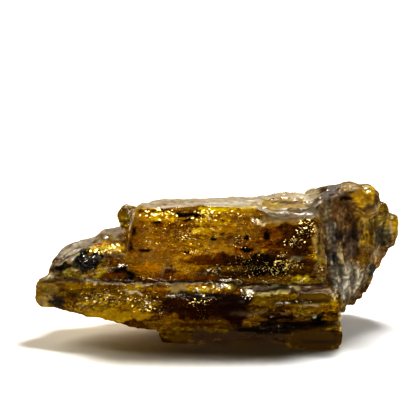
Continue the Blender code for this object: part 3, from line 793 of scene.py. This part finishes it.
class Paint:
    """The look of every point: its colour, how dense its skin is, how freshly broken, how hackly."""

    def __init__(self, count):
        self.tint = np.tile(srgb(112, 88, 52), (count, 1))
        self.cover = np.ones(count)
        self.gloss = np.zeros(count)
        self.hackle = np.zeros(count)

    def lay(self, mask, colour, cover):
        self.tint += (srgb(*colour) - self.tint) * mask[:, None]
        self.cover += (cover - self.cover) * mask

    def deepen(self, way, strength=(0.55, 0.77, 0.5)):
        """A longer way through the resin is darker and redder, a shorter one brighter and yellower."""
        self.tint *= np.exp(-np.outer(way, strength))

    def store(self, mesh):
        rgba = np.ones((len(self.tint), 4), np.float32)
        rgba[:, :3] = np.clip(self.tint, 0.0005, 0.95)
        mesh.attributes.new("tint", "FLOAT_COLOR", "POINT").data.foreach_set("color", rgba.ravel())
        for name in ("cover", "gloss", "hackle"):
            share = np.clip(getattr(self, name), 0, 1).astype(np.float32)
            mesh.attributes.new(name, "FLOAT", "POINT").data.foreach_set("value", share)


def patterns_over(points, wobble):
    """The uneven patterns that the colours follow."""
    x, y, z = points.T
    slanted = np.stack((x * 0.86 + z * 0.5, y, z * 0.86 - x * 0.5), axis=1)
    blotch = 0.7 * each(noise.noise, points * 0.25 + 0.3 * wobble)
    return SimpleNamespace(
        broad=each(noise.noise, points * 0.16 + 0.4 * wobble + (7, 0, 0)),
        blotch=blotch + 0.5 * each(noise.noise, points * 0.8),
        fleck=each(noise.noise, points * (1.1, 1.3, 1.6)),
        bedding=each(noise.noise, points * (0.14, 0.5, 1.3)),
        upright=each(noise.noise, points * (1.2, 1.2, 0.16)),
        grain=each(noise.noise, points * (0.09, 0.35, 0.5) + (0, 0, 5)),
        fissures=each(lambda p: noise.ridged_multi_fractal(p, 1.0, 2.3, 2, 1.0, 1.5),
                      points * (0.13, 0.13, 0.2) + 0.2 * wobble),
        fibres=each(noise.noise, slanted * (0.16, 0.6, 1.5) + 0.3 * wobble),
        patches=each(noise.noise, points * (0.22, 0.3, 0.45) + (0, 9, 0)),
    )


def zones_of(points, normals):
    """How much every point belongs to each part of the surface, from 0 to 1."""
    x, y, z = points.T
    on_lobe = ramp(22, 24, x) * ramp(3, 5, y)
    faces_up = ramp(0.55, 0.8, normals[:, Z])
    on_block = ramp(LEDGE_Z - 0.4, LEDGE_Z + 0.4, z)
    near_seam = ramp(LEDGE_Z - 1.6, LEDGE_Z - 0.8, z), ramp(LEDGE_Z + 2, LEDGE_Z + 1, z)
    return SimpleNamespace(
        on_lobe=on_lobe,
        front=ramp(0.35, 0.6, -normals[:, Y]) * (1 - on_lobe),
        on_block=on_block,
        on_shoulder=ramp(-19, -21, x) * on_block * ramp(0.45, 0.7, normals[:, Z]),
        on_top=faces_up * ramp(17, 20, z) * (1 - on_lobe),
        on_ledge=faces_up * near_seam[0] * near_seam[1] * ramp(4, 2, y),
        low=ramp(30, 22, z),
    )


def lay_zones(skin, zones, patterns):
    """The colours of the crust, the top and the broken front."""
    # crust of the back and the ends
    skin.lay(ramp(-0.1, 0.35, patterns.blotch), (98, 70, 36), 0.97)
    skin.lay(ramp(0.05, 0.4, patterns.broad), (140, 122, 90), 1.0)
    skin.lay(ramp(0.2, 0.4, -patterns.broad), (150, 100, 26), 0.45)
    skin.lay(ramp(1.25, 1.5, patterns.fissures), (52, 34, 18), 1.0)
    # top
    skin.lay(zones.on_top, (214, 199, 172), 0.92)
    skin.lay(zones.on_top * ramp(0.05, 0.35, patterns.grain), (190, 170, 138), 0.95)
    skin.lay(zones.on_top * ramp(0.05, 0.35, -patterns.grain), (234, 220, 198), 0.95)
    skin.lay(zones.on_top * ramp(0.1, 0.4, patterns.broad), (188, 164, 124), 0.95)
    skin.lay(zones.on_top * ramp(1.35, 1.55, patterns.fissures), (136, 112, 78), 1.0)
    # broken front: the block, the slab under it, and the ledge between
    window, slab = zones.front * zones.on_block, zones.front * (1 - zones.on_block)
    skin.lay(window, (136, 92, 6), 0.38)
    skin.lay(window * ramp(0.1, 0.4, patterns.bedding), (108, 66, 8), 0.5)
    skin.lay(slab, (104, 74, 16), 0.6)
    skin.lay(slab * ramp(0.0, 0.3, patterns.bedding), (58, 32, 10), 0.75)
    skin.lay(zones.on_ledge, (112, 78, 20), 0.7)
    skin.lay(zones.on_shoulder, (164, 152, 134), 1.0)


def lay_stains(skin, patterns, mask_of):
    """The stains, and pale and dark fibres where the shoulder is dry."""
    for middle, half_size, colour, cover in STAINS.values():
        skin.lay(mask_of(middle, half_size), colour, cover)
    dry = mask_of(*STAINS["shoulder_white"][:2]) * ramp(0.06, 0.16, skin.tint @ LUMINANCE)
    skin.lay(dry * ramp(0.05, 0.25, patterns.fibres), (108, 94, 76), 1.0)
    skin.lay(dry * ramp(0.1, 0.35, -patterns.fibres), (216, 206, 196), 1.0)


def mottle(skin, zones, patterns, resin, calm, faces):
    """Uneven depth of colour: in the resin by layers and flecks, in the crust by flecks and flutes."""
    in_resin = 1.5 * patterns.fleck + 0.9 * patterns.blotch + 1.4 * patterns.bedding
    skin.deepen(in_resin * resin * calm)
    crusty = (1 - resin) * (1 - 0.7 * zones.on_top)
    in_crust = ((0.6 + 0.8 * faces) * patterns.fleck + 1.1 * patterns.blotch) * crusty
    skin.deepen(in_crust + 0.9 * patterns.upright * zones.on_lobe * zones.low, (0.8, 0.9, 1.0))
    # painted shade: the lobe's colours made darker, against the strong light that the right softbox throws on
    # it
    skin.tint *= (1 - 0.35 * zones.on_lobe)[:, None]


def paint(obj, front):
    """Colours the body: first by zone, then stain by stain and line by line."""
    mesh = obj.data
    points, normals = read_points(mesh), read_normals(mesh)
    wobble = wobbling(points) + FINE_WOBBLE * each(noise.noise_vector, points * FINE_WOBBLE_WAVES)
    patterns, zones = patterns_over(points, wobble), zones_of(points, normals)
    seen = front.see(points, normals)

    def mask_of(middle, half_size):
        return stain_mask(seen, wobble, front, middle, half_size)

    skin = Paint(len(points))
    lay_zones(skin, zones, patterns)
    lay_stains(skin, patterns, mask_of)
    calm = np.ones(len(points))
    for middle, half_size, share in CALM.values():
        calm = np.minimum(calm, 1 - share * mask_of(middle, half_size))
    resin = zones.front + (1 - zones.front) * (1 - skin.cover)
    mottle(skin, zones, patterns, resin, calm, faces=seen[3])
    for path, width, colour, cover, _ in LINES.values():
        skin.lay(line_mask(points, wobble, front, path, width), colour, cover)
    # painted light: colours made brighter where little light falls, on what faces down and to the front
    painted_light_lift = 2.0 - 0.8 * ramp(0.1, 0.9, normals[:, Z]) - 0.95 * ramp(-0.2, 0.5, normals[:, Y])
    skin.tint *= np.maximum(painted_light_lift, 0.9)[:, None]
    golden = resin * ramp(0.30, 0.12, skin.tint[:, 2] / skin.tint[:, 0])
    skin.tint *= 1 - np.outer(golden, (0.17, 0.17, 0.7))
    matte = ramp(0.94, 1.0, skin.cover) * ramp(0.04, 0.16, skin.tint @ LUMINANCE)
    skin.gloss = np.maximum(resin, 0.2 * (1 - zones.on_top)) * (1 - 0.92 * matte)
    for middle, half_size, share in DULL.values():
        skin.gloss *= 1 - share * mask_of(middle, half_size)
    skin.hackle = (0.42 + 0.5 * ramp(-0.05, 0.4, patterns.patches)) * calm
    skin.hackle = np.maximum(skin.hackle, crowding(seen, wobble, front))
    skin.store(mesh)


def finer_relief(obj, front):
    """The lines raised or cut into the surface, fine scales, and hackle where it sparkles."""
    points, normals = read_points(obj.data), read_normals(obj.data)
    wobble = wobbling(points)
    heights = wave(points, SCALES) * (1 - 0.5 * broken_share(points, normals))
    for path, width, _, _, height in LINES.values():
        heights += height * line_mask(points, wobble, front, path, width)
    for path, width, height in DENTS.values():
        heights += height * line_mask(points, wobble, front, path, width)
    heights += wave(points, HACKLE) * crowding(front.see(points, normals), wobble, front)
    stand_out(obj, heights)


def make_body():
    """The body and its front view."""
    body = fused_body("copal_body")
    smooth_over(body, SMOOTHED)
    smooth_over(body, NOSE_SMOOTHED, left_of=NOSE_TIP_X)
    points, normals = read_points(body.data), read_normals(body.data)
    broken = broken_share(points, normals)
    stand_out(body, crust_relief(points, normals) * (1 - broken) + resin_relief(points) * broken)
    front = Front(body)
    finer_relief(body, front)
    cut_flat(body)
    paint(body, front)
    return body, Front(body)


def random_turn(rng):
    axis = Vector((rng.gauss(0, 1), rng.gauss(0, 1), rng.gauss(0, 1)))
    return Matrix.Rotation(rng.uniform(0, math.tau), 4, axis.normalized())


def turn_towards(rng, way, spread):
    """A turn that lays a flat scrap's broad side to face a way, give or take the spread."""
    off = Vector((rng.gauss(0, spread), rng.gauss(0, spread), rng.gauss(0, spread)))
    return (way + off).to_track_quat("Z", "X").to_matrix().to_4x4()


def add_scrap(bm, rng, centre, radii, turn):
    """A small flat broken scrap with a few faces."""
    made = bmesh.ops.create_icosphere(bm, subdivisions=1, radius=1)
    for vert in made["verts"]:
        vert.co *= rng.uniform(0.75, 1.2)
    place = Matrix.Translation(centre) @ turn @ Matrix.Diagonal((*radii, 1))
    bmesh.ops.transform(bm, matrix=place, verts=made["verts"])


def scatter(front, rng, middle, half_size, count):
    """Random places on the front within an oval of pixels."""
    for _ in range(count):
        angle, far = rng.uniform(0, math.tau), min(abs(rng.gauss(0, 0.65)), 1.2)
        hit = front.hit(middle[0] + half_size[0] * far * math.cos(angle),
                        middle[1] + half_size[1] * far * math.sin(angle))
        if hit:
            yield hit


def make_glints(front, name, sparkles, seed):
    """Pale flat chips on the hackly patches. Most of them lean to mirror a light."""
    rng = random.Random(seed)
    bm = bmesh.new()
    for middle, half_size, count, (smallest, largest) in sparkles.values():
        taken = []
        for place, normal in scatter(front, rng, middle, half_size, round(CHIP_TRIES * count)):
            size = rng.uniform(smallest, largest)
            if any((place - other).length < CHIP_SPACING * size for other in taken):
                continue
            taken.append(place)
            radii = (size * rng.uniform(1.0, 2.2), size * rng.uniform(0.6, 1.0), size * 0.12)
            in_cove = place.x > BLOCK_LEFT_X and LEDGE_Z < place.z < COVE_TOP_Z
            way = Vector(rng.choice(SIDE_WAYS if in_cove else MIRROR_WAYS))
            if rng.random() < LEANING_SHARE:
                turn = turn_towards(rng, way, SIDE_SPREAD if in_cove else MIRROR_SPREAD)
            else:
                turn = random_turn(rng)
            turn = turn @ Matrix.Rotation(rng.uniform(0, math.tau), 4, "Z")
            add_scrap(bm, rng, place + normal * size * 0.45, radii, turn)
    return new_object(name, bm)


def make_inclusions(front, name, fields, seed, shaped):
    """Scraps inside the resin. A function of its own draws each one's depth, radii and turn."""
    rng = random.Random(seed)
    bm = bmesh.new()
    for middle, half_size, count in fields:
        for place, normal in scatter(front, rng, middle, half_size, count):
            depth, radii, turn = shaped(rng)
            add_scrap(bm, rng, place - normal * depth, radii, turn)
    return new_object(name, bm)


def tilted(first_angle, first_axis, second_angle, second_axis):
    return Matrix.Rotation(first_angle, 4, first_axis) @ Matrix.Rotation(second_angle, 4, second_axis)


def bark_fleck(rng):
    """A dark bit of bark, near enough to the surface to be seen."""
    size = rng.uniform(0.10, 0.34)
    radii = (size * rng.uniform(1.0, 2.6), size * rng.uniform(0.6, 1.2), size * rng.uniform(0.35, 0.8))
    depth = rng.uniform(0.4, 3.5)
    return depth, radii, tilted(rng.gauss(0, 0.3), "Y", rng.gauss(0, 0.5), "Z")


def little_crack(rng):
    """A bright little crack in the gold of the resin."""
    size = rng.uniform(0.12, 0.36)
    radii = (size * rng.uniform(1.0, 2.0), size, size * 0.16)
    turn = tilted(rng.uniform(0.2, 1.2), "X", rng.gauss(0, 0.5), "Y")
    return rng.uniform(0.35, 2.2), radii, turn


def node_maker(material):
    """Empties a material's nodes and returns how to add and wire more.

    A node given as a source stands for its first output.
    """
    material.use_nodes = True
    tree = material.node_tree
    tree.nodes.clear()

    def add(kind, wires=(), **values):
        node = tree.nodes.new("ShaderNode" + kind)
        for name, value in values.items():
            setattr(node, name, value)
        for socket, source in dict(wires).items():
            if isinstance(source, bpy.types.Node):
                source = source.outputs[0]
            if isinstance(source, bpy.types.NodeSocket):
                tree.links.new(source, node.inputs[socket])
            else:
                node.inputs[socket].default_value = source
        return node

    return add


def place_node(add, scale=PER_MM):
    """The place on the object, in millimetres or stretched."""
    coords = add("TexCoord")
    return add("Mapping", {"Vector": coords.outputs["Object"], "Scale": scale})


def mix(add, factor, first, second, kind="MIX"):
    """Two colours, mixed or blended."""
    return add("Mix", {0: factor, 6: first, 7: second}, data_type="RGBA", blend_type=kind).outputs[2]


def mix_shaders(add, factor, first, second):
    return add("MixShader", {"Fac": factor, 1: first, 2: second})


def calculate(add, operation, *values, clamped=False):
    return add("Math", dict(enumerate(values)), operation=operation, use_clamp=clamped)


def span(add, value, low=0.0, high=1.0, to_low=0.0, to_high=1.0):
    """Maps a value's range onto another, and holds it at the ends."""
    return add("MapRange", {"Value": value, "From Min": low, "From Max": high, "To Min": to_low,
                            "To Max": to_high})


def speckle(add, vector, scale, low, high, top=1.0):
    """Spots where a noise stands above low, full strength above high."""
    spots = add("TexNoise", {"Vector": vector, "Scale": scale, "Detail": 2.0, "Roughness": 0.55})
    return span(add, spots, low, high, 0.0, top)


def copal_material():
    """Clear resin that absorbs, with a skin over it that is as dense as the attribute cover says."""
    material = bpy.data.materials.new("copal_resin")
    add = node_maker(material)
    tint = add("Attribute", attribute_name="tint")
    cover, gloss, hackle = (add("Attribute", attribute_name=name).outputs["Fac"]
                            for name in ("cover", "gloss", "hackle"))
    place = place_node(add)
    long_place = place_node(add, LONG_GRAINS)

    # the depth of colour wanders, and every grain has its own: a deeper tone is darker and redder
    mottle = add("TexNoise", {"Vector": long_place, "Scale": 3.0, "Detail": 2.0, "Roughness": 0.6})
    grains = add("TexVoronoi", {"Vector": long_place, "Scale": 3.3})
    own = add("SeparateColor", {"Color": grains.outputs["Color"]})
    deeper = calculate(add, "ADD", span(add, mottle, 0.32, 0.68, 2.4, 0.0), span(add, own, 0, 1, 2.0, 0.0))
    tone = add("Gamma", {"Color": (0.56, 0.45, 0.56, 1), "Gamma": deeper})
    level = mix(add, hackle, (1, 1, 1, 1), mix(add, 1.0, tone, (3.3, 5.3, 3.0, 1), "MULTIPLY"))
    clear = calculate(add, "SUBTRACT", 1.0, cover)
    peppered = calculate(add, "MULTIPLY", speckle(add, long_place, 2.6, 0.58, 0.66), clear)
    # pale gold specks over the clear resin: painted highlights
    highlight_specks = calculate(add, "MULTIPLY", speckle(add, long_place, 3.9, 0.64, 0.72, 0.8), clear)
    covered = calculate(add, "ADD", cover, calculate(add, "MAXIMUM", peppered, highlight_specks), clamped=True)
    toned = mix(add, 1.0, mix(add, 1.0, tint, level, "MULTIPLY"), BRIGHTEST_SKIN, "DARKEN")
    stained = mix(add, 1.0, level, BRIGHTEST_RESIN, "DARKEN")
    colour = mix(add, gloss, tint, toned)
    colour = mix(add, highlight_specks, colour, GOLD_HIGHLIGHT_SPECKS)
    colour = mix(add, peppered, colour, BLACK_PEPPER)

    # fine bumps, and little facets where it is hackly
    bumps = add("TexNoise", {"Vector": place, "Scale": 1.1, "Detail": 4.0, "Roughness": 0.65})
    facets = add("TexVoronoi", {"Vector": place, "Scale": 1.7})
    rough = calculate(add, "MULTIPLY_ADD", facets, hackle, bumps)
    bump = add("Bump", {"Height": rough, "Strength": span(add, hackle, 0.3, 1.0, 0.22, 0.8),
                        "Distance": BUMP_HEIGHT})

    resin = add("BsdfPrincipled", {"Base Color": stained, "Roughness": 0.07, "IOR": RESIN_IOR,
                                   "Transmission Weight": 1.0, "Normal": bump})
    crust = add("BsdfPrincipled", {"Base Color": colour, "Roughness": span(add, gloss, 0, 1, 0.55, 0.08),
                                   "Specular IOR Level": span(add, gloss, 0, 1, 0.10, 0.5),
                                   "Normal": bump})
    skin = mix_shaders(add, SKIN_GLOW, crust, add("BsdfTranslucent", {"Color": colour}))
    path = add("LightPath")
    through = add("BsdfTransparent", {"Color": SHADOW_AMBER})
    glass = mix_shaders(add, path.outputs["Is Shadow Ray"], resin, through)
    absorb = add("VolumeAbsorption", {"Color": RESIN_PASSES, "Density": RESIN_DENSITY})
    add("OutputMaterial", {"Surface": mix_shaders(add, covered, glass, skin), "Volume": absorb})
    return material


def plain_material(name, colour, roughness, glow_share=0.0, mirror=0.0):
    """A scrap's material, a little uneven in colour."""
    material = bpy.data.materials.new(name)
    add = node_maker(material)
    spots = add("TexNoise", {"Vector": place_node(add), "Scale": 1.5, "Detail": 2.0})
    bright = srgb(*colour)
    shades = mix(add, spots, (*(0.5 * bright), 1), (*bright, 1))
    body = add("BsdfPrincipled", {"Base Color": shades, "Roughness": roughness, "Metallic": mirror})
    glow = add("BsdfTranslucent", {"Color": shades})
    add("OutputMaterial", {"Surface": mix_shaders(add, glow_share, body, glow)})
    return material


def settle(obj, material):
    """Puts a finished piece in the CAD's frame and lets it ride on the part."""
    obj.data.transform(Matrix.Scale(MM, 4) @ Matrix.Translation(-CARVED_MIDDLE))
    obj.data.materials.clear()
    obj.data.materials.append(material)
    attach(obj, "root")


def make_floor():
    """A pale table that the resin mirrors only dimly, and that fades to white further off."""
    bm = bmesh.new()
    bmesh.ops.create_circle(bm, cap_ends=True, radius=FLOOR_RADIUS, segments=64)
    floor = new_object("table_top", bm)
    material = bpy.data.materials.new("pale_table")
    add = node_maker(material)
    path = add("LightPath")
    mirrored = calculate(add, "SUBTRACT", path.outputs["Is Glossy Ray"], path.outputs["Is Transmission Ray"],
                         clamped=True)
    paper = add("BsdfDiffuse", {"Color": (0.92, 0.92, 0.91, 1)})
    dull = add("BsdfDiffuse", {"Color": (0.04, 0.04, 0.04, 1)})
    coords = add("TexCoord")
    far = add("VectorMath", {0: coords.outputs["Object"]}, operation="LENGTH").outputs["Value"]
    shine = calculate(add, "MULTIPLY", span(add, far, FADE_NEAR, FADE_FAR), path.outputs["Is Camera Ray"])
    light = add("Emission", {"Color": (1, 1, 1, 1), "Strength": 1.0})
    table = mix_shaders(add, mirrored, paper, dull)
    add("OutputMaterial", {"Surface": mix_shaders(add, shine, table, light)})
    floor.data.materials.append(material)


def make_world():
    """A white backdrop, seen directly and through the resin, that lights and mirrors only a little."""
    world = bpy.data.worlds.new("room")
    bpy.context.scene.world = world
    add = node_maker(world)
    path = add("LightPath")
    seen = calculate(add, "MAXIMUM", path.outputs["Is Camera Ray"], path.outputs["Is Transmission Ray"])
    coords = add("TexCoord")
    split = add("SeparateXYZ", {0: coords.outputs["Generated"]})
    rise = span(add, split.outputs["Z"], 0.0, 0.9, 0.002, 0.006)
    dim = add("Background", {"Color": (1, 1, 1, 1), "Strength": rise})
    white = add("Background", {"Color": (1, 1, 1, 1), "Strength": 1.0})
    add("OutputWorld", {"Surface": mix_shaders(add, seen, dim, white)})


def add_softbox(name, at, size, power, lights=True, shines=True, colour=(1, 1, 1)):
    """A flat light that faces the piece. It may only light the piece, or only shine in its faces."""
    light = bpy.data.lights.new(name, "AREA")
    light.shape = "RECTANGLE"
    light.size, light.size_y = size
    light.energy = power
    light.color = colour
    lamp = bpy.data.objects.new(name, light)
    bpy.context.scene.collection.objects.link(lamp)
    lamp.location = at
    lamp.rotation_euler = (LIGHTS_AIM - Vector(at)).to_track_quat("-Z", "Y").to_euler()
    lamp.visible_camera = False
    lamp.visible_diffuse = lights
    lamp.visible_glossy = shines


def make_camera():
    lens = bpy.data.cameras.new("camera")
    lens.lens = LENS
    lens.sensor_width = SENSOR
    lens.clip_start = 0.01
    camera = bpy.data.objects.new("camera", lens)
    bpy.context.scene.collection.objects.link(camera)
    camera.location = (CAMERA_AT - CARVED_MIDDLE) * MM
    camera.rotation_euler = (math.pi / 2 - PITCH, 0, 0)
    bpy.context.scene.camera = camera
    bpy.context.scene.view_settings.view_transform = "Standard"
    bpy.context.scene.view_settings.look = "High Contrast"


def main():
    noise.seed_set(CHIPS_SEED)
    body, front = make_body()
    body.data.shade_smooth()
    settle(body, copal_material())
    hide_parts("copal_piece")
    warm_chips = make_glints(front, "hackle_chips", SPARKLES, 11)
    settle(warm_chips, plain_material("chip_cream", CHIP_CREAM, roughness=0.35, mirror=1.0))
    cool_chips = make_glints(front, "step_chips", COOL_SPARKLES, 12)
    settle(cool_chips, plain_material("chip_white", CHIP_WHITE, roughness=0.35, mirror=1.0))
    flecks = make_inclusions(front, "bark_flecks", FLECK_FIELDS, 5, bark_fleck)
    settle(flecks, plain_material("bark_brown", BARK_BROWN, roughness=0.5))
    cracks = make_inclusions(front, "spangles", CRACK_FIELDS, 8, little_crack)
    settle(cracks, plain_material("crack_gold", CRACK_GOLD, roughness=0.3, glow_share=0.25, mirror=0.3))
    make_floor()
    make_world()
    for name, softbox in SOFTBOXES.items():
        add_softbox(name, **softbox)
    for count, (at, power) in enumerate(GLINTS):
        add_softbox(f"glint_{count}", at, power=power, **GLINT_LOOK)
    make_camera()


main()
